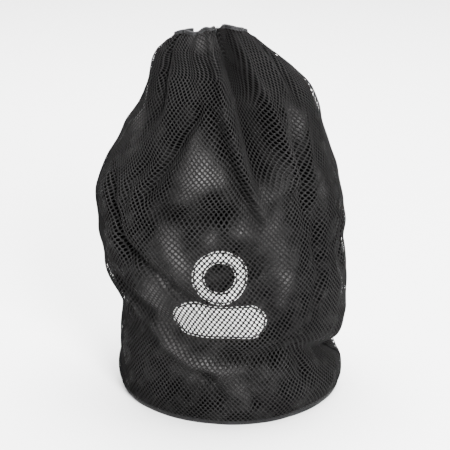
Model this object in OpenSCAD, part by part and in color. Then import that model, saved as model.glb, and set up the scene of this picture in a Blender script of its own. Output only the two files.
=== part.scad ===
// Mesh ball bag: a round-based net bag over a thin liner, its mouth gathered by
// a drawcord that runs in the mouth binding and is held by a sprung cord lock.
// The bag stands on z = 0 with its front towards -Y.

/* [Bag] */
// Overall width of the filled bag, side to side
bag_width = 284; // [260:1:310]
// Overall depth of the filled bag, front to back
bag_depth = 266; // [240:1:290]
// Height of the bag with its mouth gathered
bag_height = 420; // [390:1:450]

/* [Cloth] */
// Thickness of the net panels
mesh_t = 1; // [0.8:0.1:1.2]
// Thickness of the liner panels
liner_t = 0.8; // [0.6:0.1:1]
// Gap between the net and the liner
layer_gap = 3.5; // [3:0.1:3.8]

/* [Base] */
// Height of the piping round the base
piping_h = 7; // [6:0.5:8]
// Thickness of the outer base panel
panel_t = 1.2; // [1:0.1:1.4]
// Thickness of the stiffening board inside the base
board_t = 2; // [1.5:0.1:2.2]

/* [Mouth] */
// Number of small pleats round the mouth
pleat_count = 9; // [6:1:10]
// Depth of each small pleat at the mouth
pleat_depth = 4; // [2:0.5:5]
// Depth of the front slit, where the two ends of the binding meet
slit_depth = 9; // [6:0.5:10]

/* [Drawcord] */
// Diameter of the drawcord
cord_d = 3; // [2.6:0.1:3]

/* [Cord lock] */
// Outer diameter of the barrel
barrel_d = 13; // [12:0.5:13]
// Travel of the push button
button_travel = 4; // [3:0.5:4]

/* [Print] */
// Width of the blank bar in the print
print_w = 96; // [80:1:100]
// Outer diameter of the ball ring in the print
ring_d = 54; // [46:1:56]

/* [Hidden] */
$fn = 96;

// Outline of the net: height, then its left, right, front and back reach
NOMINAL_SIZE = [284, 266, 420];
OUTLINE = [
    [7, -117, 135, -126, 126],
    [25, -120, 138, -130, 130],
    [47, -118, 132, -131, 131],
    [73, -117, 137, -132, 132],
    [98, -116, 142, -133, 133],
    [123, -124, 142, -133, 133],
    [147, -132, 140, -133, 133],
    [172, -138, 139, -132, 133],
    [196, -141, 138, -130, 132],
    [220, -142, 136, -127, 130],
    [243, -141, 133, -122, 126],
    [267, -129, 126, -115, 119],
    [290, -118, 118, -105, 110],
    [313, -107, 112, -93, 99],
    [336, -92, 105, -80, 87],
    [355, -86, 95, -68, 76],
    [370, -82, 82, -58, 65],
    [385, -76, 64, -49, 55],
    [400, -68, 43, -41, 46],
    [413, -61, 27, -35, 38],
    [420, -61, 25, -34, 37]];
STRETCH = [bag_width / NOMINAL_SIZE[0], bag_depth / NOMINAL_SIZE[1],
    bag_height / NOMINAL_SIZE[2]];
ROWS = [for (r = OUTLINE) [r[0] * STRETCH[2], r[1] * STRETCH[0], r[2] * STRETCH[0],
    r[3] * STRETCH[1], r[4] * STRETCH[1]]];
TOP_ROW = len(ROWS) - 1;
RIM_ROW = TOP_ROW - 1;

// Where the net and the liner sit under the net's outer face
liner_face = mesh_t + layer_gap;
liner_back = liner_face + liner_t;

// The mouth: its pleats fade in above gather_z, and the slit leads down from it
gather_z = 300 * STRETCH[2];
rim_z = ROWS[RIM_ROW][0];
slit_a = 288;
slit_spread = 9.5;
slit_drift = 16;

// Angles round the bag, in degrees from +X: the seams take the gaps
seam_half = 2;
FRONT_ANGLES = [180 + seam_half, for (a = [185:5:355]) a, 360 - seam_half];
BACK_ANGLES = [seam_half, for (a = [5:5:175]) a, 180 - seam_half];
LEFT_TAPE = [180 - seam_half, 180, 180 + seam_half];
RIGHT_TAPE = [-seam_half, 0, seam_half];
liner_seam_a = 303;
LINER_LEFT = [for (a = [liner_seam_a - 180 : 5 : liner_seam_a]) a];
LINER_RIGHT = [for (a = [liner_seam_a - 360 : 5 : liner_seam_a - 180]) a];

// The base
base_r = (ROWS[0][2] - ROWS[0][1]) / 2;
base_x = (ROWS[0][2] + ROWS[0][1]) / 2;
piping_t = 3;
floor_z = panel_t + board_t;
floor_r = base_r - liner_face;

// The mouth binding, a folded tape with a square tunnel for the cord
binding_w = 7;
tunnel_w = cord_d + 0.8;
binding_end = 8;
binding_step = 6;
BINDING_ANGLES = [for (a = [slit_a + binding_end : binding_step
    : slit_a + 360 - binding_end + 0.1]) a];
tunnel_z = (rim_z + ROWS[TOP_ROW][0]) / 2;

// The cord lock lies across the mouth behind the slit, its button towards +X
lock_at = [-8.5, 0, rim_z - 3];
strand_gap = 0.2;
strand_x = (cord_d + strand_gap) / 2;
window_clear = 0.3;
window_x = strand_x + cord_d / 2 + window_clear;
window_h = cord_d + 2 * window_clear;
barrel_ends = [-13, 9];
barrel_cap = 1.5;
bore_r = 4.5;
stem_r = 4.35;
stem_end = 15;
bridge = 2;
spring_r = 3.2;
spring_wire = 0.6;
spring_turns = 3;

// The cord's two ends, from the slit through the lock to the knot, seen from lock_at
knot_y = 17.5;
LEFT_EXIT = [for (p = [[-3.1, -19.2, 6], [-2.3, -16.2, 4.6], [-1.8, -13, 2.6],
    [-1.6, -9.8, 0.7], [-1.6, -6.5, 0], [-1.6, 0, 0], [-1.6, 8, 0],
    [-1.6, knot_y, 0]]) lock_at + p];
RIGHT_EXIT = [for (p = [[3.1, -17.2, 6], [2.3, -14.6, 4.6], [1.8, -11.9, 2.7],
    [1.6, -9.2, 0.8], [1.6, -6.2, 0], [1.6, 0, 0], [1.6, 8, 0],
    [1.6, knot_y, 0]]) lock_at + p];

// The print on the liner, centred on print_at in the X-Z plane
print_at = [-3, 155];
print_h = 94;
bar_h = 33;
ring_band = 8;
print_t = 0.4;

// Share of the gathering at height z, from 0 in the body to 1 at the rim
function gathered(z) =
    pow(min(1, max(0, (z - gather_z) / (rim_z - gather_z))), 1.5);

// The slit's angle drifts to the right as it runs down the bag
function slit_angle(z) = slit_a + slit_drift * (1 - gathered(z));

// How far pleats and slit pull the cloth in at height z and angle a
function angle_off(a, b) = abs((((a - b) % 360) + 540) % 360 - 180);
function pleats(z, a) = pleat_depth * (1 + cos(pleat_count * (a - slit_a))) / 2;
function slit(z, a) =
    slit_depth * exp(-pow(angle_off(a, slit_angle(z)) / slit_spread, 2) / 2);
function pull_in(z, a) = gathered(z) * (pleats(z, a) + slit(z, a));

// A point of the cloth: row of the outline, angle, and depth under the net's face
function cloth_point(row, a, inset) =
    let (
        centre = [(row[1] + row[2]) / 2, (row[3] + row[4]) / 2],
        half = [(row[2] - row[1]) / 2, (row[4] - row[3]) / 2],
        depth = inset + pull_in(row[0], a)
    )
    [centre[0] + (half[0] - depth) * cos(a), centre[1] + (half[1] - depth) * sin(a),
        row[0]];

// Two triangles for one quad of a grid
function quad(a, b, c, d) = [[a, b, c], [a, c, d]];
function flat(lists) = [for (l = lists) each l];

// A wall of cloth over a span of angles, between two depths
module wall(rows, angles, outer, inner) {
    n = len(angles);
    m = len(rows);
    skins = [for (inset = [outer, inner]) for (r = rows) for (a = angles)
        cloth_point(r, a, inset)];
    back = n * m;
    last = n * (m - 1);
    faces = flat([
        flat([for (i = [0:m - 2]) for (j = [0:n - 2]) let (p = i * n + j) concat(
            quad(p, p + n, p + n + 1, p + 1),
            quad(back + p, back + p + 1, back + p + n + 1, back + p + n))]),
        flat([for (j = [0:n - 2]) concat(
            quad(j, j + 1, back + j + 1, back + j),
            quad(last + j, back + last + j, back + last + j + 1, last + j + 1))]),
        flat([for (i = [0:m - 2]) let (p = i * n, q = i * n + n - 1) concat(
            quad(p, back + p, back + p + n, p + n),
            quad(q, q + n, back + q + n, back + q))])]);
    polyhedron(skins, faces, convexity = 10);
}

// The rows of the walls: the net stands on the piping, the liner on its floor
MESH_ROWS = [for (i = [0:RIM_ROW]) ROWS[i]];
LINER_ROWS = concat([[floor_z + liner_t, each [for (k = [1:4]) ROWS[0][k]]]], MESH_ROWS);
PRINT_ROWS = [for (r = ROWS) if (r[0] > 90 && r[0] < 225) r];
PRINT_ANGLES = [for (a = LINER_LEFT) if (a > 240) a];

// Directions across a path at point i, for sweeping a round section along it
function unit(v) = v / norm(v);
function tangent(path, i) =
    unit(path[min(i + 1, len(path) - 1)] - path[max(i - 1, 0)]);
function ring_points(path, i, r, sides) =
    let (t = tangent(path, i), side = unit(cross(t, [0, 0, 1])), up = cross(side, t))
    [for (k = [0:sides - 1]) path[i] + r * (side * cos(360 * k / sides)
        + up * sin(360 * k / sides))];

// A closed tube: quads between the rings and a flat face at each end
module sweep_rings(points, sides, rings) {
    faces = concat(
        [[for (k = [sides - 1:-1:0]) k]],
        flat([for (i = [0:rings - 2]) flat([for (k = [0:sides - 1])
            let (p = i * sides + k, q = i * sides + (k + 1) % sides)
            quad(p, q, q + sides, p + sides)])]),
        [[for (k = [0:sides - 1]) (rings - 1) * sides + k]]);
    polyhedron(points, faces, convexity = 10);
}

module round_tube(path, r, sides) {
    points = flat([for (i = [0:len(path) - 1]) ring_points(path, i, r, sides)]);
    sweep_rings(points, sides, len(path));
}

// A point of the mouth's path at angle a, depth and height
function mouth_point(a, inset, z) =
    let (p = cloth_point(ROWS[RIM_ROW], a, inset)) [p[0], p[1], z];

// The corners of a square section of the mouth's path, round its middle
function mouth_square(a, half_w, half_h) =
    [for (c = [[1, -1], [-1, -1], [-1, 1], [1, 1]])
        mouth_point(a, binding_w / 2 + c[0] * half_w, tunnel_z + c[1] * half_h)];

module base_panel() {
    color("#24262a") translate([base_x, 0, 0]) cylinder(h = panel_t, r = base_r - piping_t);
}

module base_board() {
    color("#d8d8d4") translate([base_x, 0, panel_t])
        cylinder(h = board_t, r = base_r - piping_t - 1);
}

// A folded tape, flat on top where the net is sewn on, rounded where it meets the floor
module base_piping() {
    edge = piping_t / 2;
    color("#3a3c40") translate([base_x, 0, 0]) rotate_extrude() union() {
        translate([base_r - piping_t, edge]) square([piping_t, piping_h - edge]);
        translate([base_r - edge, edge]) circle(r = edge, $fn = 32);
    }
}

module liner_floor() {
    color("#1c1d20") translate([base_x, 0, floor_z]) cylinder(h = liner_t, r = floor_r);
}

module liner_left() {
    color("#1c1d20") wall(LINER_ROWS, LINER_LEFT, liner_face, liner_back);
}

module liner_right() {
    color("#1c1d20") wall(LINER_ROWS, LINER_RIGHT, liner_face, liner_back);
}

// The print's outline: a plain ball ring above a blank rounded bar
module print_shape() {
    ring_y = (print_h - ring_d) / 2;
    bar_y = (bar_h - print_h) / 2;
    bar_run = (print_w - bar_h) / 2;
    translate([0, ring_y]) difference() {
        circle(d = ring_d);
        circle(d = ring_d - 2 * ring_band);
    }
    for (s = [-1, 1]) translate([s * bar_run, bar_y]) circle(d = bar_h);
    translate([-bar_run, bar_y - bar_h / 2]) square([2 * bar_run, bar_h]);
}

module emblem_print() {
    color("white") intersection() {
        wall(PRINT_ROWS, PRINT_ANGLES, liner_face - print_t, liner_face);
        translate([print_at[0], 0, print_at[1]]) rotate([90, 0, 0])
            linear_extrude(height = bag_depth) print_shape();
    }
}

module mesh_front() {
    color("#303236") wall(MESH_ROWS, FRONT_ANGLES, 0, mesh_t);
}

module mesh_back() {
    color("#303236") wall(MESH_ROWS, BACK_ANGLES, 0, mesh_t);
}

module seam_tape_left() {
    color("#232428") wall(MESH_ROWS, LEFT_TAPE, 0, mesh_t + 0.6);
}

module seam_tape_right() {
    color("#232428") wall(MESH_ROWS, RIGHT_TAPE, 0, mesh_t + 0.6);
}

// A square tape tube with a square tunnel, open at both ends beside the slit
module mouth_binding() {
    n = len(BINDING_ANGLES);
    half_h = ROWS[TOP_ROW][0] - tunnel_z;
    points = flat([for (a = BINDING_ANGLES) concat(
        mouth_square(a, binding_w / 2, half_h),
        mouth_square(a, tunnel_w / 2, tunnel_w / 2))]);
    last = 8 * (n - 1);
    sides = flat([for (i = [0:n - 2]) flat([for (k = [0:3])
        let (p = 8 * i + k, q = 8 * i + (k + 1) % 4) concat(
            quad(p, q, q + 8, p + 8),
            quad(p + 4, p + 12, q + 12, q + 4))])]);
    ends = flat([for (k = [0:3]) let (q = (k + 1) % 4) concat(
        quad(k, k + 4, q + 4, q),
        quad(last + k, last + q, last + q + 4, last + k + 4))]);
    color("#4a4c50") polyhedron(points, concat(sides, ends), convexity = 10);
}

// The cord runs from the knot, round the mouth inside the binding, and back
module drawcord() {
    turn = [for (i = [len(BINDING_ANGLES) - 1:-1:0])
        mouth_point(BINDING_ANGLES[i], binding_w / 2, tunnel_z)];
    into = [for (i = [len(LEFT_EXIT) - 1:-1:0]) LEFT_EXIT[i]];
    color("#18191c") round_tube(concat(into, turn, RIGHT_EXIT), cord_d / 2, 8);
}

// Both ends are tied together in one overhand knot behind the lock
module cord_knot() {
    r = cord_d / 2;
    color("#18191c") translate([lock_at[0], knot_y + 3, lock_at[2]]) {
        for (tilt = [-25, 25]) rotate([90 + tilt, 0, 0])
            rotate_extrude() translate([2.2, 0]) circle(r = r, $fn = 24);
        for (s = [-1, 1]) translate([s * strand_x, -1.5, 0]) rotate([-90, 0, 0])
            cylinder(h = 8, r = r, $fn = 24);
    }
}

// An oblong hole along Y for the two strands, from x_low to x_high
module strand_window(x_low, x_high, height, depth) {
    r = height / 2;
    rotate([90, 0, 0]) translate([0, 0, -depth / 2]) {
        for (x = [x_low + r, x_high - r]) translate([x, 0, 0])
            cylinder(h = depth, r = r, $fn = 48);
        translate([x_low + r, -r, 0]) cube([x_high - x_low - 2 * r, height, depth]);
    }
}

module lock_barrel() {
    r = barrel_d / 2;
    soft = 1.5;
    groove = 0.5;
    low = barrel_ends[0];
    high = barrel_ends[1];
    color("#15161a") translate(lock_at) difference() {
        rotate([0, 90, 0]) rotate_extrude() {
            translate([0, low]) square([r - soft, high - low]);
            translate([0, low + soft]) square([r, high - low - 2 * soft]);
            for (x = [low + soft, high - soft]) translate([r - soft, x])
                circle(r = soft, $fn = 32);
        }
        translate([low + barrel_cap, 0, 0]) rotate([0, 90, 0])
            cylinder(h = high - low, r = bore_r);
        strand_window(-window_x, window_x, window_h, 2 * barrel_d);
        for (x = [low + 4, high - 3]) translate([x, 0, 0]) rotate([0, 90, 0])
            rotate_extrude() translate([r, 0]) circle(r = groove, $fn = 24);
    }
}

module lock_button() {
    dome = 2;
    stem_start = -window_x - bridge;
    color("#2a2c30") translate(lock_at) difference() {
        union() {
            translate([stem_start, 0, 0]) rotate([0, 90, 0])
                cylinder(h = stem_end - dome - stem_start, r = stem_r);
            translate([stem_end - dome, 0, 0]) rotate([0, 90, 0]) rotate_extrude() {
                square([stem_r - dome, dome]);
                translate([stem_r - dome, 0]) intersection() {
                    circle(r = dome, $fn = 32);
                    square(dome);
                }
            }
        }
        strand_window(-window_x, window_x + button_travel, window_h, 2 * barrel_d);
    }
}

// A light coil between the barrel's blind end and the button's stem
module lock_spring() {
    low = barrel_ends[0] + barrel_cap + spring_wire / 2;
    high = -window_x - bridge - spring_wire / 2;
    steps = 12 * spring_turns;
    path = [for (i = [0:steps]) [low + (high - low) * i / steps,
        spring_r * cos(30 * i), spring_r * sin(30 * i)]];
    sides = 6;
    points = flat([for (p = path) let (out = unit([0, p[1], p[2]]))
        [for (k = [0:sides - 1]) p + spring_wire / 2
            * (out * cos(60 * k) + [1, 0, 0] * sin(60 * k))]]);
    color("silver") translate(lock_at) sweep_rings(points, sides, steps + 1);
}

base_panel();
base_board();
base_piping();
liner_floor();
liner_left();
liner_right();
emblem_print();
mesh_front();
mesh_back();
seam_tape_left();
seam_tape_right();
mouth_binding();
drawcord();
cord_knot();
lock_barrel();
lock_button();
lock_spring();
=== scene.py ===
"""A mesh ball bag: an open net over a crinkled liner, gathered at the mouth.

The CAD frame gives the outline, the base, the mouth and the cord lock. The cloth is made here:
one smooth folded surface for the net, cut hole by hole, and a wrinkled one just inside it for the
liner. Angles are in degrees round the bag, 0 towards +X and 270 at the front.
"""
import math

import bpy
import numpy as np
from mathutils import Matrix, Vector
from mathutils.bvhtree import BVHTree


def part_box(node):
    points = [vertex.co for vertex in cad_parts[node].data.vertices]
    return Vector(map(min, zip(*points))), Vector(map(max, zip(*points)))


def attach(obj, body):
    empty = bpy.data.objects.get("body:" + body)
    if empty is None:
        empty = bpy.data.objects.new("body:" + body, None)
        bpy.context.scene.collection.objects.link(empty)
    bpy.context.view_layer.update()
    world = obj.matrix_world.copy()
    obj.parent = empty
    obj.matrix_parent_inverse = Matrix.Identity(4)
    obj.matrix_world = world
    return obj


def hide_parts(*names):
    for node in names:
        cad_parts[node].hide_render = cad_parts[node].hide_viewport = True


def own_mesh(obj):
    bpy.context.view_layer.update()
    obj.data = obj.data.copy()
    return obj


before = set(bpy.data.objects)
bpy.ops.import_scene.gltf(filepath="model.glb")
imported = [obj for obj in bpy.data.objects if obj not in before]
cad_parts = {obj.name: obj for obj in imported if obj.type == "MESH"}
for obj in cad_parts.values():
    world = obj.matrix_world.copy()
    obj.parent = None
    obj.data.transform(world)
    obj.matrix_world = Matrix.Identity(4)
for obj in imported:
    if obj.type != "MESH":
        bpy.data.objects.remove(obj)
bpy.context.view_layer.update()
MM = 0.001

# ---------------------------------------------------------------- measures from the frame
PIPING_LOW, PIPING_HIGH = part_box("base_piping")
BASE_X = (PIPING_LOW.x + PIPING_HIGH.x) / 2
BASE_R = (PIPING_HIGH.x - PIPING_LOW.x) / 2
TOP_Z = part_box("mouth_binding")[1].z
LOCK_LOW, LOCK_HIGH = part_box("lock_barrel")
KNOT_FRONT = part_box("cord_knot")[0].y

# ---------------------------------------------------------------- the cloth
# The net: holes round each row, height of a row, size of a hole, and how far the knots and the
# strands stand off the middle of the cloth, on either side
NET_COLUMNS = 146
NET_ROW = 3.16 * MM
HOLE_RADIUS = 1.62 * MM
KNOT_HALF = 0.42 * MM
STRAND_HALF = 0.3 * MM
# Girth of the cloth where it isn't gathered, the share of its spare that the mouth folds take, and
# the depth in mm of a mouth fold at the rim
CLOTH_ROUND = 0.835
TUCKED = 0.5
FOLD_DEPTH = 14.0
# The cloth is worked out on rings of points, then laid out as grids: columns and rows
RINGS = 150
SAMPLES = 1800
NET_GRID = (544, 300)
LINER_GRID = (408, 260)
# Where round the bag the liner's front seam runs, in turns
LINER_SEAM = 0.842
# The mouth tape is open between these angles
SLIT_FROM, SLIT_TO = 283.0, 304.0
# Millimetres round the body for each degree
ARC_MM = 2.3

# Folds that start at the mouth: share of the fold depth, share of the spare cloth, width in
# degrees at the rim, and the way down the bag as (height in mm, angle in degrees)
MOUTH_FOLDS = (
    (1.35, 0.35, 11.0, ((413, 294), (400, 292), (388, 288), (370, 284), (345, 280))),
    (0.2, 0.2, 4.0, ((413, 248), (394, 246), (372, 247), (345, 250), (322, 250))),
    (1.0, 1.0, 4.5, ((413, 216), (380, 218), (340, 220), (300, 218), (262, 212))),
    (1.0, 1.0, 4.5, ((413, 166), (370, 168), (330, 172), (280, 178))),
    (1.1, 1.0, 4.5, ((413, 145), (370, 147), (320, 146), (260, 142))),
    (1.1, 1.0, 4.5, ((413, 122), (370, 120), (320, 115), (250, 110))),
    (1.1, 1.0, 4.5, ((413, 99), (380, 95), (330, 86), (270, 78))),
    (1.1, 1.0, 4.5, ((413, 76), (370, 70), (320, 62), (260, 54))),
    (1.1, 1.0, 4.5, ((413, 53), (370, 46), (320, 36), (260, 30))),
    (1.0, 1.0, 4.5, ((413, 30), (380, 24), (340, 14), (290, 6))),
    (0.6, 0.8, 4.0, ((413, -18), (385, -26), (350, -36), (300, -42))),
)
# Soft folds and dents of the filled body: depth over BODY_GAIN in mm (positive goes in), width in
# mm, and their run as (angle in degrees, height in mm)
BODY_GAIN = 1.9
BODY_FOLDS = (
    (-5.0, 5.0, ((268, 413), (270, 403), (269, 380), (268, 360), (269, 340), (276, 314),
                 (284, 272), (291, 236))),
    (-5.0, 6.5, ((303, 401), (298, 380), (297, 361), (302, 323), (307, 293), (309, 272),
                 (304, 267), (294, 263))),
    (5.5, 5.0, ((252, 345), (247, 322), (242, 300), (237, 275), (232, 255))),
    (4.5, 4.0, ((258, 345), (264, 328), (271, 305), (279, 272), (288, 230))),
    (-5.5, 15.0, ((258, 305), (256, 268))),
    (3.5, 5.0, ((240, 243), (256, 240), (268, 242), (280, 248))),
    (-3.5, 7.0, ((247, 226), (247, 205), (251, 178))),
    (-3.0, 6.0, ((270, 232), (280, 224), (288, 222))),
    (5.0, 11.0, ((286, 190), (289, 176))),
    (-2.5, 6.0, ((302, 204), (303, 180), (298, 160))),
    (4.5, 4.5, ((218, 202), (232, 184), (241, 170), (252, 150), (259, 138))),
    (-3.5, 6.0, ((228, 106), (236, 90), (250, 76), (264, 71), (276, 74))),
    (4.5, 6.0, ((264, 88), (276, 83), (290, 83), (303, 89))),
    (4.5, 5.5, ((303, 84), (309, 66), (314, 46))),
    (3.5, 5.0, ((256, 62), (264, 46), (268, 26))),
    (3.5, 5.0, ((284, 58), (280, 40), (284, 22))),
    (4.5, 5.5, ((203, 262), (210, 240), (218, 210), (223, 182))),
    (3.0, 5.0, ((228, 290), (220, 262), (221, 238))),
    (4.0, 6.0, ((318, 350), (316, 318), (313, 285), (313, 250), (314, 222))),
    (-3.0, 8.0, ((324, 340), (322, 300), (322, 262))),
    (3.5, 6.0, ((322, 232), (318, 200), (320, 162), (314, 130))),
    (9.0, 6.5, ((370, 41), (360, 45), (350, 52), (335, 62), (322, 70), (310, 80))),
    (-2.2, 26.0, ((345, 150), (365, 140))),
    (3.2, 15.0, ((178, 124), (204, 114))),
    (-1.4, 18.0, ((178, 214), (192, 210))),
    (3.5, 8.0, ((208, 152), (224, 122), (240, 116), (252, 120))),
    (3.5, 9.0, ((20, 250), (34, 200), (30, 150))),
    (4.0, 8.0, ((62, 246), (74, 190), (92, 150), (112, 120))),
    (-3.5, 9.0, ((48, 236), (58, 190), (76, 150))),
    (4.5, 7.0, ((128, 250), (120, 200), (132, 150), (152, 110))),
    (-3.5, 10.0, ((112, 230), (104, 190), (116, 150))),
    (3.5, 8.0, ((160, 220), (166, 160), (158, 90))),
    (4.0, 6.0, ((40, 90), (66, 66), (96, 58), (120, 66))),
    (3.0, 8.0, ((350, 210), (344, 160), (356, 110))),
)
# The deep hollow under the slit: its left brow, where it drops steeply, and its right brow, as
# (height in mm, angle)
HOLLOW_LEFT = ((420, 271), (403, 270), (380, 269), (360, 268), (340, 269), (314, 276), (272, 284),
               (236, 291))
HOLLOW_RIGHT = ((420, 302), (401, 302), (380, 298), (361, 297), (323, 302), (293, 307), (272, 309),
                (236, 310))
HOLLOW_MM = 30.0
# Where the liner hangs clear of the net: extra gap in mm, width in mm, and the run. Along these
# the liner's painted light is also darkened, as painted shade.
LINER_GAPS = (
    (9.0, 17.0, ((184, 145), (184, 118))),
    (6.0, 8.0, ((186, 336), (190, 322))),
    (11.0, 20.0, ((338, 385), (344, 362), (348, 340))),
    (16.0, 14.0, ((289, 398), (285, 350), (292, 318), (297, 285))),
    (8.0, 12.0, ((286, 194), (290, 174))),
    (7.0, 9.0, ((264, 86), (280, 82), (302, 88))),
    (7.0, 9.0, ((304, 82), (313, 50))),
    (6.0, 9.0, ((244, 243), (274, 246))),
    (5.0, 9.0, ((248, 330), (238, 282))),
    (5.0, 8.0, ((264, 328), (280, 268))),
    (5.0, 12.0, ((312, 300), (313, 240))),
    (5.0, 14.0, ((60, 200), (80, 120))),
    (5.0, 14.0, ((140, 180), (150, 100))),
)


def cad_outline():
    """Height, left, right, front and back reach of each row of the CAD net."""
    points = np.array([v.co for n in ("mesh_front", "mesh_back")
                       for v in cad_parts[n].data.vertices])
    heights = np.unique(points[:, 2].round(4))
    rows = []
    for z in heights:
        at = points[abs(points[:, 2] - z) < 0.05 * MM]
        rows.append((z, at[:, 0].min(), at[:, 0].max(), at[:, 1].min(), at[:, 1].max()))
    return np.array(rows)


def smooth_curve(x, xs, ys):
    """A smooth curve through (xs, ys), with slopes taken from each point's neighbours."""
    xs, ys = np.asarray(xs, float), np.asarray(ys, float)
    if xs[0] > xs[-1]:
        xs, ys = xs[::-1], ys[::-1]
    slope = np.gradient(ys, xs)
    x = np.clip(x, xs[0], xs[-1])
    k = np.clip(np.searchsorted(xs, x) - 1, 0, len(xs) - 2)
    h = xs[k + 1] - xs[k]
    t = (x - xs[k]) / h
    return ((1 + 2 * t) * (1 - t) ** 2 * ys[k] + t * (1 - t) ** 2 * h * slope[k]
            + t * t * (3 - 2 * t) * ys[k + 1] + t * t * (t - 1) * h * slope[k + 1])


def ease(x, low, high):
    """0 below low, 1 above high, smooth between."""
    t = np.clip((x - low) / (high - low), 0, 1)
    return t * t * (3 - 2 * t)


def angle_between(a, b):
    """Signed difference of two angles in degrees, from -180 to 180."""
    return (a - b + 180) % 360 - 180


def stroke(angle, z, run, width):
    """1 on a line through the points of run, fading over width mm, and towards both ends."""
    run = np.array(run, float)
    best = np.full(np.broadcast(angle, z).shape, 1e9)
    along = np.zeros_like(best)
    steps = np.hypot(np.diff(run[:, 0]) * ARC_MM, np.diff(run[:, 1]))
    total = steps.sum()
    start = 0.0
    for (a0, z0), (a1, z1), step in zip(run[:-1], run[1:], steps):
        dx, dz = angle_between(angle, a0) * ARC_MM, z - z0
        ex, ez = (a1 - a0) * ARC_MM, z1 - z0
        t = np.clip((dx * ex + dz * ez) / (ex * ex + ez * ez), 0, 1)
        d = np.hypot(dx - t * ex, dz - t * ez)
        nearer = d < best
        best = np.where(nearer, d, best)
        along = np.where(nearer, (start + t * step) / total, along)
        start += step
    fade = ease(along, -0.25, 0.2) * (1 - ease(along, 0.75, 1.3))
    return np.exp(-(best / width) ** 2 / 2) * fade


def ripple(angle, z, scale, seed):
    """Smooth random unevenness, about -1 to 1, with features of roughly scale mm."""
    random = np.random.default_rng(seed)
    total = np.zeros(np.broadcast(angle, z).shape)
    around = 360 * ARC_MM / scale
    for _ in range(14):
        turns = random.integers(max(1, int(around * 0.35)), max(3, int(around * 0.9)))
        rise = random.normal() * 1.7 * math.pi / scale
        total += np.sin(np.radians(angle * turns) + z * rise + random.uniform(0, 6.28))
    return total / 3.7


OUTLINE = cad_outline()
NET_LOW_Z = OUTLINE[0, 0]
# How the neck leaves the CAD outline: height, then how far in mm its left, right, front and back
# reach move towards +X, +X, +Y and +Y
NECK_PULL = ((375, 0, 0, 0, 0), (400, -3, 6, 3, -2), (411, 1, 7, 9, -5), (420, 13, -2, 12, -7))


def reach(z):
    """Left, right, front and back reach of the cloth at height z."""
    left, right, front, back = (smooth_curve(z, OUTLINE[:, 0], OUTLINE[:, k])
                                for k in (1, 2, 3, 4))
    pulls = [np.interp(z / MM, [p[0] for p in NECK_PULL], [p[k] for p in NECK_PULL]) * MM
             for k in (1, 2, 3, 4)]
    return left + pulls[0], right + pulls[1], front + pulls[2], back + pulls[3]


def ring_heights(count):
    """Heights of rings that lie equally far apart along the cloth."""
    z = np.linspace(NET_LOW_Z - 2.5 * MM, TOP_Z - 3 * MM, 600)
    left, right, front, back = reach(z)
    mean = (right - left + back - front) / 4
    length = np.concatenate([[0], np.cumsum(np.hypot(np.diff(z), np.diff(mean)))])
    return np.interp(np.linspace(0, length[-1], count), length, z), length[-1]


def cloth_grid(inset_mm, columns, rows):
    """Points of the folded cloth, inset_mm(angle, z) under the smooth outline.

    Each ring is laid out by length, so that the columns keep their spacing on the faces of the
    folds and the spare cloth runs down inside them.
    """
    heights, _ = ring_heights(RINGS)
    angle = np.linspace(0, 360, SAMPLES + 1)
    spots = np.linspace(0, 1, columns + 1)[:-1]
    grid = np.zeros((columns, RINGS, 3))
    for j, z in enumerate(heights):
        left, right, front, back = (float(side) for side in reach(z))
        centre = np.array([(left + right) / 2, (front + back) / 2])
        half = np.array([(right - left) / 2, (back - front) / 2])
        zmm = z / MM
        pit = hollow(angle, zmm)
        inset = (inset_mm(angle, np.full_like(angle, zmm)) + pit) * MM
        depth = fold_depth(zmm)
        q = np.zeros_like(angle)
        gather = ease(zmm, 240, 345)
        for share, spare, width, run in MOUTH_FOLDS:
            at = smooth_curve(zmm, [p[0] for p in run], [p[1] for p in run])
            top, low = run[0][0], run[-1][0]
            fade = ease(zmm, low, low + 0.45 * (top - low))
            spread = width + 5.0 * (1 - gather)
            one = np.exp(-(abs(angle_between(angle, at)) / spread) ** 2.4 * 1.2) * fade
            inset = inset + one * depth * share * MM
            q = np.maximum(q, one * spare)
        c, s = np.cos(np.radians(angle)), np.sin(np.radians(angle))
        x = centre[0] + (half[0] - inset) * c
        y = centre[1] + (half[1] - inset) * s
        step = np.hypot(half[0] * np.diff(c), half[1] * np.diff(s))
        in_fold = (q[1:] + q[:-1]) / 2
        gain = max(0.0, CLOTH_ROUND - step.sum()) / max((in_fold * step).sum(), 1e-6)
        laid = step * (1 + TUCKED * gain * in_fold)
        laid = laid / laid.sum() * gather + step / step.sum() * (1 - gather)
        laid = laid + 0.25 * abs(np.diff(pit)) * MM / step.sum()
        u = np.concatenate([[0], np.cumsum(laid)])
        u /= u[-1]
        grid[:, j, 0] = np.interp(spots, u, x)
        grid[:, j, 1] = np.interp(spots, u, y)
        grid[:, j, 2] = z
    shape_rim(grid)
    fine = np.linspace(0, RINGS - 1, rows)
    return smooth_rows(grid, fine)


def fold_depth(zmm):
    """Depth in mm of a mouth fold of share 1 at a height: none in the body, most at the rim."""
    return FOLD_DEPTH * ease(zmm, 245, 415) ** 1.3


# Height of the rim in mm over its mean, by angle: its front stands up, its back hangs lower
RIM_LIFT = ((0, -6), (40, -12), (58, -13), (70, -9), (88, -8), (104, -13), (135, -13), (165, -9),
            (190, -5), (215, -0.5), (238, -0.5), (248, 0.5), (256, 3.5), (272, 4.5), (281, 4),
            (285, -2), (291, -9), (299, -7), (305, 1), (325, 2.5), (342, 0.5), (360, -6))
# The room that the cloth leaves round the lock and the knot
CLEAR_CENTRE = np.array([-7.5, 9.0]) * MM
CLEAR_HALF = np.array([18.0, 20.5]) * MM


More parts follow.
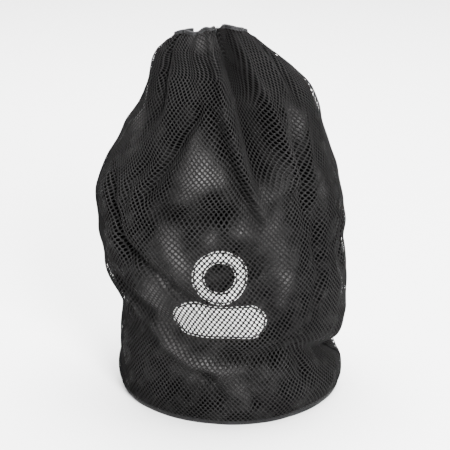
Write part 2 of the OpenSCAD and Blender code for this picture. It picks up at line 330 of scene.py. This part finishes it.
def shape_rim(grid):
    """Lifts the rim's front, and keeps the cloth clear of the lock and the knot inside it."""
    heights = grid[0, :, 2]
    lift = ease(heights, 372 * MM, 416 * MM)
    centre = grid[:, -1].mean(0)
    turn = np.degrees(np.arctan2(grid[:, -1, 1] - centre[1], grid[:, -1, 0] - centre[0])) % 360
    rise = smooth_curve(turn, [p[0] for p in RIM_LIFT], [p[1] for p in RIM_LIFT]) * MM
    rise = rise + 0.7 * MM * np.sin(np.radians(turn * 7 + 40))
    off = (grid[:, :, :2] - CLEAR_CENTRE) / CLEAR_HALF
    far = (off ** 4).sum(-1) ** 0.25
    push = ease(heights, 386 * MM, 398 * MM)[None, :] * (1 / np.maximum(far, 0.05) - 1).clip(0)
    grid[:, :, :2] += (grid[:, :, :2] - CLEAR_CENTRE) * push[..., None]
    grid[:, :, 2] += rise[:, None] * lift[None, :]


def smooth_rows(grid, fine):
    """The grid sampled at fractional ring numbers, by cubic steps."""
    k = np.clip(fine.astype(int), 0, grid.shape[1] - 2)
    t = (fine - k)[None, :, None]
    slope = np.gradient(grid, axis=1)
    return ((1 + 2 * t) * (1 - t) ** 2 * grid[:, k] + t * (1 - t) ** 2 * slope[:, k]
            + t * t * (3 - 2 * t) * grid[:, k + 1] + t * t * (t - 1) * slope[:, k + 1])


def base_pull(angle):
    """How far in mm the soft base edge is drawn in from a true circle."""
    return (2.6 * np.exp(-(angle_between(angle, 240) / 20) ** 2)
            + 2.6 * np.exp(-(angle_between(angle, 316) / 19) ** 2)
            + 0.35 * np.sin(np.radians(angle * 7 + 57)) + 0.25 * np.sin(np.radians(angle * 13)))


def body_shape(angle, zmm):
    """Depth in mm of all soft folds of the body at an angle and height."""
    depth = np.zeros(np.broadcast(angle, zmm).shape)
    for amount, width, run in BODY_FOLDS:
        depth = depth + amount * stroke(angle, zmm, run, width)
    calm = ease(zmm, 7, 40) * (1 - 0.6 * ease(zmm, 360, 413))
    low = base_pull(angle) * (1 - ease(zmm, 8, 30))
    bulge = 1.6 * np.exp(-((zmm - 15) / 8) ** 2)
    return (low - bulge + BODY_GAIN * depth * ease(zmm, 7, 30)
            + 1.6 * calm * ripple(angle, zmm, 110, 3) + 0.8 * calm * ripple(angle, zmm, 45, 5))


def hollow(angle, zmm):
    """Depth in mm of the hollow under the slit: steep at its left, shallow towards its right."""
    left = smooth_curve(zmm, [p[0] for p in HOLLOW_LEFT], [p[1] for p in HOLLOW_LEFT])
    right = smooth_curve(zmm, [p[0] for p in HOLLOW_RIGHT], [p[1] for p in HOLLOW_RIGHT])
    t = (angle - left) / (right - left)
    across = ease(t, -0.02, 0.34) * (1 - ease(t, 0.3, 1.12)) * 1.1
    lip = 232 + 38 * t.clip(0, 1)
    return HOLLOW_MM * across * ease(zmm, lip, lip + 60) * (1 - 0.75 * ease(zmm, 372, 400))


def liner_gap(angle, zmm):
    """Depth in mm of the liner under the net."""
    side = ease(abs(np.cos(np.radians(angle))), 0.85, 0.98)
    gap = 2.2 - 1.0 * side + 0.8 * ripple(angle, zmm, 70, 11)
    for amount, width, run in LINER_GAPS:
        gap = gap + amount * stroke(angle, zmm, run, width)
    gap = np.maximum(gap, 1.4)
    edge = ease(zmm, 7, 30) * (1 - ease(zmm, 385, 413))
    return 1.2 + (gap - 1.2) * edge


# Painted highlights on the liner: where its base colour is made lighter to stand in for the light
# it catches where it lies flat: amount, width in mm, and the run
LINER_PAINTED_HIGHLIGHTS = (
    (0.7, 8.0, ((272, 405), (279, 401))),
    (0.85, 13.0, ((256, 304), (252, 266))),
    (0.2, 26.0, ((249, 218), (250, 120))),
    (0.08, 20.0, ((236, 150), (236, 80))),
    (0.2, 24.0, ((292, 230), (292, 180))),
    (0.22, 13.0, ((293, 262), (296, 200), (298, 130))),
    (0.18, 26.0, ((262, 66), (290, 50))),
    (0.8, 8.0, ((262, 284), (271, 276))),
    (0.8, 7.0, ((246, 218), (248, 200), (253, 178))),
    (0.7, 6.0, ((279, 228), (281, 226))),
    (0.6, 6.0, ((265, 220), (267, 216))),
    (0.5, 9.0, ((237, 166), (232, 140), (233, 108))),
    (0.7, 6.0, ((236, 93), (248, 79), (262, 70), (275, 69))),
    (0.35, 7.0, ((299, 330), (301, 303), (308, 280), (300, 265), (290, 259))),
    (0.6, 6.0, ((299, 178), (300, 164))),
    (0.4, 6.0, ((284, 142), (285, 136))),
    (0.5, 9.0, ((196, 350), (213, 316))),
    (0.4, 9.0, ((330, 340), (320, 312))),
    (0.4, 7.0, ((330, 262), (330, 240))),
    (0.5, 7.0, ((274, 47), (278, 42))),
    (0.5, 7.0, ((250, 60), (254, 52))),
    (0.5, 14.0, ((30, 250), (44, 200))),
    (0.6, 12.0, ((84, 290), (96, 240))),
    (0.6, 12.0, ((120, 160), (112, 110))),
    (0.5, 12.0, ((60, 130), (50, 90))),
    (0.6, 12.0, ((158, 260), (150, 200))),
    (0.5, 10.0, ((170, 90), (160, 60))),
)


def liner_painted_light(angle, zmm):
    """Painted light on the liner, 0 to 1: painted highlights along the highlight strokes, and
    painted shade where it hangs clear of the net and over the neck.
    """
    painted_light = 0.08 * ripple(angle, zmm, 40, 61) + 0.05 * ripple(angle, zmm, 16, 62)
    for amount, width, run in LINER_PAINTED_HIGHLIGHTS:
        painted_light = painted_light + amount * stroke(angle, zmm, run, width)
    # Painted shade: darker where the liner hangs clear of the net.
    for amount, width, run in LINER_GAPS:
        painted_light = painted_light * (1 - 0.09 * amount * stroke(angle, zmm, run, width))
    # Painted shade: darker over the neck, from about 335 mm up to about 400 mm.
    return painted_light.clip(0, 1) * (1 - 0.7 * ease(zmm, 335, 375) * (1 - ease(zmm, 392, 400)))


def crumple(angle, zmm, scale, seed):
    """Flat facets between sharp straight creases, 0 to 1, with features of roughly scale mm."""
    random = np.random.default_rng(seed)
    around = 360 * ARC_MM
    total = np.zeros(np.broadcast(angle, zmm).shape)
    weight = 0.0
    for k in range(5):
        turn = random.uniform(0, math.pi)
        turns = round(around / scale * math.cos(turn)) or 1
        rise = math.sin(turn) / (scale * random.uniform(0.8, 1.3))
        warp = 0.35 * ripple(angle, zmm, scale * 2.2, seed * 31 + k)
        phase = angle / 360 * turns + zmm * rise + random.uniform() + warp
        saw = abs((phase % 1) * 2 - 1)
        amount = 0.5 + 0.5 * ripple(angle, zmm, scale * 3, seed * 57 + k)
        total += saw * amount.clip(0.05, 1)
        weight += 0.75
    return total / weight


def liner_shape(angle, zmm):
    """Depth in mm of the liner under the smooth outline, its creases included."""
    return body_shape(angle, zmm) + liner_gap(angle, zmm) + crinkles(angle, zmm)


def crinkles(angle, zmm):
    """The creased surface of thin nylon as a depth in mm, never outwards."""
    edge = ease(zmm, 7, 26) * (1 - ease(zmm, 392, 413))
    edge = edge * (1 - 0.75 * ease(abs(np.cos(np.radians(angle))), 0.85, 0.98))
    wide = 2.8 * crumple(angle, zmm, 58, 41)
    fine = 1.3 * crumple(angle + 1.5 * ripple(angle, zmm, 40, 9), zmm, 19, 42)
    return (wide + fine) * edge


# ---------------------------------------------------------------- mesh helpers
def new_mesh(name, points, faces):
    """A smooth mesh object: faces is one array of quads, or a list of faces of any size."""
    mesh = bpy.data.meshes.new(name)
    if isinstance(faces, np.ndarray):
        n, k = faces.shape
        mesh.vertices.add(len(points))
        mesh.vertices.foreach_set("co", np.asarray(points, np.float32).ravel())
        mesh.loops.add(n * k)
        mesh.loops.foreach_set("vertex_index", faces.astype(np.int32).ravel())
        mesh.polygons.add(n)
        mesh.polygons.foreach_set("loop_start", np.arange(0, n * k, k, dtype=np.int32))
        mesh.update(calc_edges=True)
        mesh.validate()
    else:
        mesh.from_pydata([tuple(p) for p in points], [], faces)
        mesh.validate()
    mesh.polygons.foreach_set("use_smooth", [True] * len(mesh.polygons))
    mesh.update()
    piece = bpy.data.objects.new(name, mesh)
    bpy.context.scene.collection.objects.link(piece)
    return piece


def grid_faces(n, m, closed):
    """Quads of an n by m grid of points, numbered i * m + j."""
    i = np.arange(n if closed else n - 1)
    j = np.arange(m - 1)
    i, j = np.meshgrid(i, j, indexing="ij")
    a, b = i * m + j, (i + 1) % n * m + j
    return np.stack([a, b, b + 1, a + 1], -1).reshape(-1, 4)


def grid_normals(grid):
    """Outward unit normals of a grid that closes on itself along its first axis."""
    du = np.roll(grid, -1, 0) - np.roll(grid, 1, 0)
    dv = np.gradient(grid, axis=1)
    n = np.cross(du, dv)
    return n / np.maximum(np.linalg.norm(n, axis=-1, keepdims=True), 1e-12)


def sample(grid, u, v):
    """The grid at fractional places: u in turns round the bag, v from 0 to 1 up it."""
    n, m = grid.shape[:2]
    x = (u % 1) * n
    y = np.clip(v, 0, 1) * (m - 1)
    i, j = np.floor(x).astype(int), np.minimum(y.astype(int), m - 2)
    s, t = (x - i)[:, None], (y - j)[:, None]
    i0, i1 = i % n, (i + 1) % n
    return ((1 - s) * (1 - t) * grid[i0, j] + s * (1 - t) * grid[i1, j]
            + (1 - s) * t * grid[i0, j + 1] + s * t * grid[i1, j + 1])


# ---------------------------------------------------------------- the camera and the stage
CAMERA_BACK, CAMERA_UP, CAMERA_PITCH = 1.7, 0.793, 19.53
CAMERA_LENS = 127.0
SCENE_X = 3 * MM
camera_data = bpy.data.cameras.new("camera")
camera_data.sensor_width = 36.0
camera_data.lens = CAMERA_LENS
camera = bpy.data.objects.new("camera", camera_data)
camera.location = (SCENE_X, -CAMERA_BACK, CAMERA_UP)
camera.rotation_euler = (math.radians(90 - CAMERA_PITCH), 0, 0)
bpy.context.scene.collection.objects.link(camera)
bpy.context.scene.camera = camera


def make_stage():
    """A pale round floor that curves up into a wall all round."""
    flat, bend, high = 3.4, 1.2, 3.4
    profile = [(0.0, 0.0), (1.2, 0.0), (flat, 0.0)]
    profile += [(flat + bend * math.sin(a), bend - bend * math.cos(a))
                for a in np.linspace(0.12, math.pi / 2, 12)]
    profile.append((flat + bend, high))
    turns = np.linspace(0, 2 * math.pi, 72, endpoint=False)
    points = [(r * math.cos(t), r * math.sin(t), z) for t in turns for r, z in profile]
    floor = new_mesh("stage_floor", points, grid_faces(len(turns), len(profile), True))
    floor.data.materials.append(stage_material())


def stage_material():
    material = bpy.data.materials.new("stage_paper")
    material.use_nodes = True
    shader = material.node_tree.nodes["Principled BSDF"]
    shader.inputs["Base Color"].default_value = (0.9, 0.9, 0.9, 1)
    shader.inputs["Roughness"].default_value = 0.85
    shader.inputs["Specular IOR Level"].default_value = 0.1
    return material


def add_light(name, place, aim, size, power):
    data = bpy.data.lights.new(name, "AREA")
    data.shape = "RECTANGLE"
    data.size, data.size_y = size
    data.energy = power
    light = bpy.data.objects.new(name, data)
    light.location = place
    light.rotation_euler = (Vector(aim) - Vector(place)).to_track_quat("-Z", "Y").to_euler()
    bpy.context.scene.collection.objects.link(light)


def make_lights():
    world = bpy.data.worlds.new("world")
    bpy.context.scene.world = world
    world.use_nodes = True
    world.node_tree.nodes["Background"].inputs["Color"].default_value = (1, 1, 1, 1)
    world.node_tree.nodes["Background"].inputs["Strength"].default_value = 0.12
    add_light("key", (0.65, -1.95, 1.4), (0, 0, 0.2), (0.6, 0.6), 235)
    add_light("top", (0.1, 0.85, 2.5), (0, 0.27, 0), (3.0, 2.5), 488)


# ---------------------------------------------------------------- materials
class Nodes:
    """Short names for building one material's node tree."""

    def __init__(self, name, roughness, specular=0.5):
        self.material = bpy.data.materials.new(name)
        self.material.use_nodes = True
        self.tree = self.material.node_tree
        self.shader = self.tree.nodes["Principled BSDF"]
        self.shader.inputs["Roughness"].default_value = roughness
        self.shader.inputs["Specular IOR Level"].default_value = specular
        self.place = self.add("ShaderNodeTexCoord").outputs["Object"]

    def add(self, kind, **values):
        node = self.tree.nodes.new(kind)
        for key, value in values.items():
            if hasattr(node, key):
                setattr(node, key, value)
            else:
                node.inputs[key.replace("_", " ")].default_value = value
        return node

    def link(self, source, target):
        self.tree.links.new(source, target)
        return target

    def noise(self, scale, detail=3.0):
        node = self.add("ShaderNodeTexNoise", Scale=scale, Detail=detail)
        self.link(self.place, node.inputs["Vector"])
        return node.outputs["Fac"]

    def cells(self, scale):
        """Distance to the edges of random cells, for cracks and creases."""
        node = self.add("ShaderNodeTexVoronoi", feature="DISTANCE_TO_EDGE", Scale=scale)
        self.link(self.place, node.inputs["Vector"])
        return node.outputs["Distance"]

    def wave(self, scale, axis):
        node = self.add("ShaderNodeTexWave", bands_direction=axis, Scale=scale, Distortion=0.0)
        self.link(self.place, node.inputs["Vector"])
        return node.outputs["Fac"]

    def math(self, operation, a, b):
        node = self.add("ShaderNodeMath", operation=operation)
        for k, value in enumerate((a, b)):
            if isinstance(value, (int, float)):
                node.inputs[k].default_value = value
            else:
                self.link(value, node.inputs[k])
        return node.outputs["Value"]

    def ramp(self, factor, low, high, start=0.0, end=1.0):
        node = self.add("ShaderNodeMapRange")
        for key, value in (("From Min", start), ("From Max", end), ("To Min", low),
                           ("To Max", high)):
            node.inputs[key].default_value = value
        self.link(factor, node.inputs["Value"])
        return node.outputs["Result"]

    def colour(self, factor, dark, light):
        node = self.add("ShaderNodeMix", data_type="RGBA")
        node.inputs[6].default_value = (*dark, 1)
        node.inputs[7].default_value = (*light, 1)
        self.link(factor, node.inputs[0])
        self.link(node.outputs[2], self.shader.inputs["Base Color"])

    def rough(self, factor, low, high):
        self.link(self.ramp(factor, low, high), self.shader.inputs["Roughness"])

    def bump(self, height, distance, strength=1.0):
        node = self.add("ShaderNodeBump", Strength=strength, Distance=distance)
        self.link(height, node.inputs["Height"])
        if self.shader.inputs["Normal"].is_linked:
            self.link(self.shader.inputs["Normal"].links[0].from_socket, node.inputs["Normal"])
        self.link(node.outputs["Normal"], self.shader.inputs["Normal"])


def net_material():
    """Knitted polyester net: fine yarn and uneven dust."""
    m = Nodes("net_polyester", 0.5, 0.0)
    yarn = m.noise(1800, 2)
    dust = m.noise(14, 3)
    m.colour(m.ramp(dust, 0, 1, 0.3, 0.7), (0.0086, 0.0084, 0.0084), (0.0136, 0.0133, 0.0133))
    m.rough(yarn, 0.42, 0.62)
    m.bump(yarn, 0.12 * MM, 0.8)
    return m.material


def liner_material():
    """Thin crinkled nylon: a fine plain weave and hard small creases; its base colour holds
    painted highlights and painted shade, read from a point attribute that also raises its
    specular.
    """
    m = Nodes("liner_nylon", 0.42, 0.05)
    creases = m.cells(42)
    small = m.cells(120)
    cloud = m.noise(9, 4)
    weave = m.math("MULTIPLY", m.wave(900, "Z"), m.wave(900, "X"))
    painted_light = m.add("ShaderNodeAttribute", attribute_name="painted_light").outputs["Fac"]
    # Painted light: the base colour runs from near black in painted shade to grey in painted
    # highlights.
    m.colour(painted_light, (0.0004, 0.0004, 0.0004), (0.056, 0.054, 0.054))
    m.link(m.ramp(painted_light, 0, 0.15), m.shader.inputs["Specular IOR Level"])
    m.rough(cloud, 0.34, 0.5)
    m.bump(weave, 0.05 * MM, 0.4)
    m.bump(m.ramp(small, 0, 1, 0, 0.35), 0.5 * MM, 0.6)
    m.bump(m.ramp(creases, 0, 1, 0, 0.3), 1.6 * MM, 0.7)
    return m.material


def tape_material(name, dark, light, roughness, specular=0.1):
    """Woven tape: fine ribs and a slight unevenness."""
    m = Nodes(name, roughness, specular)
    ribs = m.math("MULTIPLY", m.wave(620, "X"), m.wave(620, "Y"))
    cloud = m.noise(30, 3)
    m.colour(cloud, dark, light)
    m.rough(cloud, roughness - 0.06, roughness + 0.08)
    m.bump(ribs, 0.12 * MM, 0.6)
    m.bump(m.noise(240, 3), 0.1 * MM, 0.5)
    return m.material


def print_material():
    """White transfer print: matte film with hairline cracks and a trace of the cloth's grain."""
    m = Nodes("print_film", 0.5, 0.4)
    cracks = m.cells(330)
    grain = m.noise(700, 2)
    m.colour(m.ramp(cracks, 0, 1, 0.0, 0.05), (0.62, 0.62, 0.61), (0.86, 0.86, 0.85))
    m.rough(grain, 0.42, 0.6)
    m.bump(m.ramp(cracks, 0, 1, 0.0, 0.08), 0.08 * MM, 0.6)
    m.bump(grain, 0.05 * MM, 0.5)
    return m.material


def moulded_material(name, dark, light, roughness):
    """Moulded nylon: a satin skin with a faint texture and scuffs."""
    m = Nodes(name, roughness, 0.15)
    scuff = m.noise(160, 4)
    m.colour(scuff, dark, light)
    m.rough(scuff, roughness - 0.08, roughness + 0.12)
    m.bump(m.noise(2600, 2), 0.03 * MM, 0.5)
    return m.material


def board_material():
    m = Nodes("board_plastic", 0.6, 0.4)
    m.colour(m.noise(60, 4), (0.6, 0.6, 0.58), (0.76, 0.76, 0.74))
    m.bump(m.noise(900, 2), 0.05 * MM, 0.5)
    return m.material


def steel_material():
    """Blackened spring wire."""
    m = Nodes("spring_steel", 0.4, 0.5)
    m.colour(m.noise(400, 2), (0.03, 0.03, 0.03), (0.05, 0.05, 0.05))
    m.shader.inputs["Metallic"].default_value = 1.0
    m.bump(m.noise(3000, 2), 0.01 * MM, 0.3)
    return m.material


# ---------------------------------------------------------------- the net
def net_points(net, normal, rows):
    """The faces of knots and strand middles, outer and inner, and each hole with its edge."""
    half = 2 * NET_COLUMNS
    k, j = np.meshgrid(np.arange(half), np.arange(rows + 2), indexing="ij")

    def place(ku, jv):
        u, v = ku.ravel() / half, (jv.ravel() - 0.5) / rows
        return sample(net, u, v), sample(normal, u, v)

    knots, knot_n = place(k, j)
    strands, strand_n = place(k + 0.5, j + 0.5)
    layers = [knots + knot_n * KNOT_HALF, knots - knot_n * KNOT_HALF,
              strands + strand_n * STRAND_HALF, strands - strand_n * STRAND_HALF]
    hk, hj = np.nonzero((k + j) % 2 == 0)
    inside = (hj >= 1) & (hj <= rows)
    hk, hj = hk[inside], hj[inside]
    holes = []
    radius = HOLE_RADIUS * (1 + 0.03 * ease(hj / rows, 0.6, 0.85))
    for corner in range(8):
        turn = math.radians(45 * corner)
        du = radius * math.cos(turn) / (CLOTH_ROUND / half)
        dv = radius * math.sin(turn) / NET_ROW
        holes.append(place(hk + du, hj + dv)[0])
    return layers, hk, hj, np.stack(holes, 1)


def make_net(net, rows):
    """The net as quarters of the bag's round, two for each CAD panel."""
    normal = grid_normals(net)
    layers, hk, hj, holes = net_points(net, normal, rows)
    half, tall = 2 * NET_COLUMNS, rows + 2
    size = half * tall

    def at(kk, jj, layer):
        return layer * size + (kk % half) * tall + jj

    rim = [  # the eight points round a hole's cell: knots on the axes, strands between
        (at(hk + 1, hj, 0), 0), (at(hk, hj, 2), 2), (at(hk, hj + 1, 0), 0),
        (at(hk - 1, hj, 2), 2), (at(hk - 1, hj, 0), 0), (at(hk - 1, hj - 1, 2), 2),
        (at(hk, hj - 1, 0), 0), (at(hk, hj - 1, 2), 2)]
    outer = np.stack([r[0] for r in rim], 1)
    inner = outer + size
    edge = 4 * size + np.arange(len(hk) * 8).reshape(-1, 8)
    nxt = np.roll(np.arange(8), -1)
    front = np.stack([edge, outer, outer[:, nxt], edge[:, nxt]], -1)
    back = np.stack([edge, edge[:, nxt], inner[:, nxt], inner], -1)
    points = np.concatenate(layers + [holes.reshape(-1, 3)])
    material = net_material()
    turn = hk / half
    pieces = {}
    panels = (("net_front_left", 0.5, 0.75, "mesh_front"),
              ("net_front_right", 0.75, 1.0, "mesh_front"),
              ("net_back_right", 0.0, 0.25, "mesh_back"),
              ("net_back_left", 0.25, 0.5, "mesh_back"))
    for name, start, stop, node in panels:
        chosen = (turn >= start) & (turn < stop)
        faces = np.concatenate([front[chosen].reshape(-1, 4), back[chosen].reshape(-1, 4)])
        used, index = np.unique(faces, return_inverse=True)
        piece = new_mesh(name, points[used], index.reshape(-1, 4))
        piece.data.materials.append(material)
        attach(piece, "root")
        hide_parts(node)
        pieces[name] = piece
    return pieces


# ---------------------------------------------------------------- the liner and its print
def make_liner(liner):
    """Two liner panels, joined at a front-right and a back-left seam."""
    n, m = liner.shape[:2]
    material = liner_material()
    seam = int(round(LINER_SEAM * n))
    other = (seam - n // 2) % n
    pieces = []
    for name, node, start in (("liner_panel_left", "liner_left", other),
                              ("liner_panel_right", "liner_right", seam)):
        columns = (start + np.arange(n // 2 + 1)) % n
        part = liner[columns]
        piece = new_mesh(name, part.reshape(-1, 3), grid_faces(n // 2 + 1, m, False))
        turn = columns / n * 360
        # The painted highlights and painted shade of the liner's colour, stored on its points.
        painted_light_values = liner_painted_light(turn[:, None], part[..., 2].mean(0)[None, :] / MM)
        layer = piece.data.attributes.new("painted_light", "FLOAT", "POINT")
        layer.data.foreach_set("value", painted_light_values.astype(np.float32).ravel())
        piece.data.materials.append(material)
        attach(piece, "root")
        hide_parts(node)
        pieces.append(piece)
    return pieces


def print_outline():
    """Which points of the print's plane hold film: a plain ring over a blank bar, outlined."""
    low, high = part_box("emblem_print")
    centre_x, width = (low.x + high.x) / 2, high.x - low.x
    ring_r, bar_h = 27 * MM, 33 * MM
    ring_half, outline_gap, outline_half = 4 * MM, 2.1 * MM, 0.45 * MM
    ring_z = high.z - ring_r
    bar_z = low.z + bar_h / 2

    def holds(x, z):
        dx, dz = x - centre_x, z - ring_z
        r = np.hypot(dx, dz)
        ring = abs(r - ring_r + ring_half)
        bx = np.maximum(abs(dx) - (width - bar_h) / 2, 0)
        bar = np.hypot(bx, z - bar_z) - bar_h / 2
        shape = np.minimum(ring - ring_half, bar)
        return (shape < 0) | (abs(shape - outline_gap) < outline_half)

    return holds, low, high


def make_print(liner_pieces):
    """White film laid on the liner, square by square, where the print's shape is."""
    holds, low, high = print_outline()
    points, faces = [], []
    for piece in liner_pieces:
        base = len(points)
        points += [v.co.copy() for v in piece.data.vertices]
        faces += [[base + i for i in p.vertices] for p in piece.data.polygons]
    tree = BVHTree.FromPolygons(points, faces)
    step, edge, stand_off = 0.6 * MM, 3 * MM, 0.35 * MM
    xs = np.arange(low.x - edge, high.x + edge, step)
    zs = np.arange(low.z - edge, high.z + edge, step)
    index, cloth = {}, []
    quads = []

    def vertex(i, k):
        if (i, k) not in index:
            hit, normal, _, _ = tree.ray_cast(Vector((xs[i], -0.4, zs[k])), Vector((0, 1, 0)))
            if normal.y > 0:
                normal = -normal
            index[i, k] = len(cloth)
            cloth.append(hit + normal * stand_off)
        return index[i, k]

    for i in range(len(xs) - 1):
        for k in range(len(zs) - 1):
            if holds((xs[i] + xs[i + 1]) / 2, (zs[k] + zs[k + 1]) / 2):
                quads.append((vertex(i, k), vertex(i + 1, k),
                              vertex(i + 1, k + 1), vertex(i, k + 1)))
    film = new_mesh("print_film", cloth, quads)
    film.data.materials.append(print_material())
    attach(film, "root")
    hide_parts("emblem_print")
    return film


# ---------------------------------------------------------------- tapes, cord and base
def sweep(name, path, profile, closed, up=(0, 0, 1)):
    """Sweeps a closed profile of (out, up) points along a path."""
    path = np.asarray(path, float)
    n, k = len(path), len(profile)
    if closed:
        along = np.roll(path, -1, 0) - np.roll(path, 1, 0)
    else:
        along = np.gradient(path, axis=0)
    along /= np.linalg.norm(along, axis=1, keepdims=True)
    side = np.cross(along, np.array(up, float))
    side /= np.linalg.norm(side, axis=1, keepdims=True)
    lift = np.cross(side, along)
    points = np.concatenate([path + side * a + lift * b for a, b in profile]).reshape(k, n, 3)
    points = points.transpose(1, 0, 2).reshape(-1, 3)
    faces = []
    for i in range(n if closed else n - 1):
        for j in range(k):
            a, b = i * k + j, i * k + (j + 1) % k
            c, d = ((i + 1) % n) * k + (j + 1) % k, ((i + 1) % n) * k + j
            faces.append((a, d, c, b))
    if not closed:
        faces.append(tuple(range(k)))
        faces.append(tuple((n - 1) * k + j for j in reversed(range(k))))
    return new_mesh(name, points, faces)


def rounded_bar(width, height, corner, steps=4):
    """Profile points of a bar with round corners."""
    points = []
    for cx, cy, start in ((1, 1, 0), (-1, 1, 90), (-1, -1, 180), (1, -1, 270)):
        for t in np.linspace(0, 90, steps):
            a = math.radians(start + t)
            points.append((cx * (width / 2 - corner) + corner * math.cos(a),
                           cy * (height / 2 - corner) + corner * math.sin(a)))
    return points


def make_binding(net):
    """The folded tape round the mouth, open at the front slit, and the path of its middle."""
    rim = net[:, -1]
    centre = rim.mean(0)
    turn = np.degrees(np.arctan2(rim[:, 1] - centre[1], rim[:, 0] - centre[0]))
    away = (turn - SLIT_TO) % 360
    order = np.argsort(away)
    order = order[away[order] < (SLIT_FROM - SLIT_TO) % 360]
    path = rim[order]
    for _ in range(3):
        path[1:-1] = (path[:-2] + 2 * path[1:-1] + path[2:]) / 4
    piece = sweep("mouth_tape", path, rounded_bar(2.4 * MM, 4.4 * MM, 1.0 * MM), False)
    piece.data.materials.append(
        tape_material("binding_tape", (0.012, 0.012, 0.0125), (0.022, 0.022, 0.023), 0.5))
    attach(piece, "root")
    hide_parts("mouth_binding")
    return path


def make_cord(path):
    """The drawcord inside the tape, its ends through the lock to the knot."""
    lock = (LOCK_LOW + LOCK_HIGH) / 2
    middle_x = lock.x + 2 * MM
    strand, radius = 1.6 * MM, 1.5 * MM
    end_y = KNOT_FRONT + 2 * MM

    def end(start, x):
        middle = Vector(((start[0] + x) / 2, start[1] * 0.72, (start[2] + lock.z) / 2 + 1 * MM))
        return [middle, Vector((x, -9 * MM, lock.z + 0.6 * MM)), Vector((x, -5 * MM, lock.z)),
                Vector((x, 6 * MM, lock.z)), Vector((x, end_y, lock.z))]

    first = end(path[-1], middle_x - strand)
    last = end(path[0], middle_x + strand)
    route = list(reversed(last)) + [Vector(p) for p in path[::4]] + first
    curve = bpy.data.curves.new("drawcord_braid", "CURVE")
    curve.dimensions = "3D"
    spline = curve.splines.new("POLY")
    spline.points.add(len(route) - 1)
    for point, place in zip(spline.points, route):
        point.co = (*place, 1)
    curve.bevel_depth = radius
    curve.bevel_resolution = 3
    cord = bpy.data.objects.new("drawcord_braid", curve)
    bpy.context.scene.collection.objects.link(cord)
    cord.data.materials.append(
        tape_material("cord_braid", (0.004, 0.004, 0.0042), (0.009, 0.009, 0.0095), 0.55))
    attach(cord, "root")
    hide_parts("drawcord")


def make_side_tapes(net):
    """The tapes over the two side seams, laid on the net."""
    n, m = net.shape[:2]
    normal = grid_normals(net)
    material = tape_material("seam_tape", (0.003, 0.003, 0.0031), (0.005, 0.005, 0.0052),
                             0.6, 0.0)
    side_columns, above, below = 2, 0.35 * MM, 0.6 * MM
    for name, node, column in (("side_tape_right", "seam_tape_right", 0),
                               ("side_tape_left", "seam_tape_left", n // 2)):
        columns = (column + np.arange(-side_columns, side_columns + 1)) % n
        outer = net[columns] + normal[columns] * above
        inner = net[columns] - normal[columns] * below
        loop = np.concatenate([outer, inner[::-1]])
        faces = grid_faces(2 * len(columns), m, True)
        piece = new_mesh(name, loop.reshape(-1, 3), faces)
        piece.data.materials.append(material)
        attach(piece, "root")
        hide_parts(node)


def make_base():
    """The band round the base, and the finishes of the flat pieces in it."""
    band_inset, band_width = 2.3 * MM, 3.0 * MM
    turns = np.linspace(0, 2 * math.pi, 360, endpoint=False)
    z_mid = (PIPING_LOW.z + PIPING_HIGH.z) / 2
    height = PIPING_HIGH.z - PIPING_LOW.z
    radius = BASE_R - band_inset - base_pull(np.degrees(turns)) * MM
    path = np.stack([BASE_X + radius * np.cos(turns), radius * np.sin(turns),
                     np.full_like(turns, z_mid)], 1)
    piping = sweep("base_band", path, rounded_bar(band_width, height, 1.4 * MM), True)
    piping.data.materials.append(
        tape_material("piping_tape", (0.006, 0.006, 0.0062), (0.011, 0.011, 0.0114), 0.42))
    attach(piping, "root")
    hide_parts("base_piping")
    bottom = tape_material("base_fabric", (0.012, 0.012, 0.0125), (0.02, 0.02, 0.021), 0.5)
    finish_nodes({"base_panel": bottom, "liner_floor": liner_material(),
                  "base_board": board_material()})


def finish_nodes(finishes):
    """Gives CAD nodes their materials."""
    for node, material in finishes.items():
        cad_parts[node].data.materials.clear()
        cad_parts[node].data.materials.append(material)


def declare_cloth(net_pieces):
    """Looks up the tapes that lie on each back net piece; nothing further is done with them."""
    for name, piece in net_pieces.items():
        tape = "side_tape_" + name.rsplit("_", 1)[1]
        tapes = [bpy.data.objects[tape]] if name.startswith("net_back") else []
        if name == "net_back_right":
            tapes.append(bpy.data.objects["mouth_tape"])


def make_spring():
    """The lock's coil spring, which shortens as the button goes in."""
    low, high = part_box("lock_spring")
    wire, turns, travel, spare = 0.6 * MM, 4, 4 * MM, 0.04 * MM
    coil = (high.z - low.z - wire) / 2
    middle = (low + high) / 2
    steps = np.linspace(0, 1, 24 * turns + 1)
    turn = steps * turns * 2 * math.pi
    start, length = low.x + wire / 2 + spare, high.x - low.x - wire - 2 * spare
    path = np.stack([start + length * steps, middle.y + coil * np.cos(turn),
                     middle.z + coil * np.sin(turn)], 1)
    ring = [(wire / 2 * math.cos(a), wire / 2 * math.sin(a))
            for a in np.linspace(0, 2 * math.pi, 8, endpoint=False)]
    piece = sweep("lock_coil", path, ring, False, up=(1, 0, 0))
    piece.data.materials.append(steel_material())
    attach(piece, "lock")
    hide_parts("lock_spring")
    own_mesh(piece)


def dress_lock():
    """Finishes of the lock's moulded parts and of the knot."""
    finish_nodes({
        "lock_barrel": moulded_material("lock_plastic", (0.003, 0.003, 0.0031),
                                        (0.006, 0.006, 0.0061), 0.38),
        "lock_button": moulded_material("button_plastic", (0.005, 0.005, 0.0051),
                                        (0.009, 0.009, 0.0091), 0.4),
        "cord_knot": bpy.data.materials["cord_braid"]})


# ---------------------------------------------------------------- putting it together
make_stage()
make_lights()
net = cloth_grid(body_shape, *NET_GRID)
_, cloth_tall = ring_heights(RINGS)
net_rows = int(round(cloth_tall / NET_ROW))
liner = cloth_grid(liner_shape, *LINER_GRID)
net_pieces = make_net(net, net_rows)
liner_pieces = make_liner(liner)
film = make_print(liner_pieces)
rim_path = make_binding(net)
make_cord(rim_path)
make_side_tapes(net)
make_base()
make_spring()
dress_lock()
declare_cloth(net_pieces)
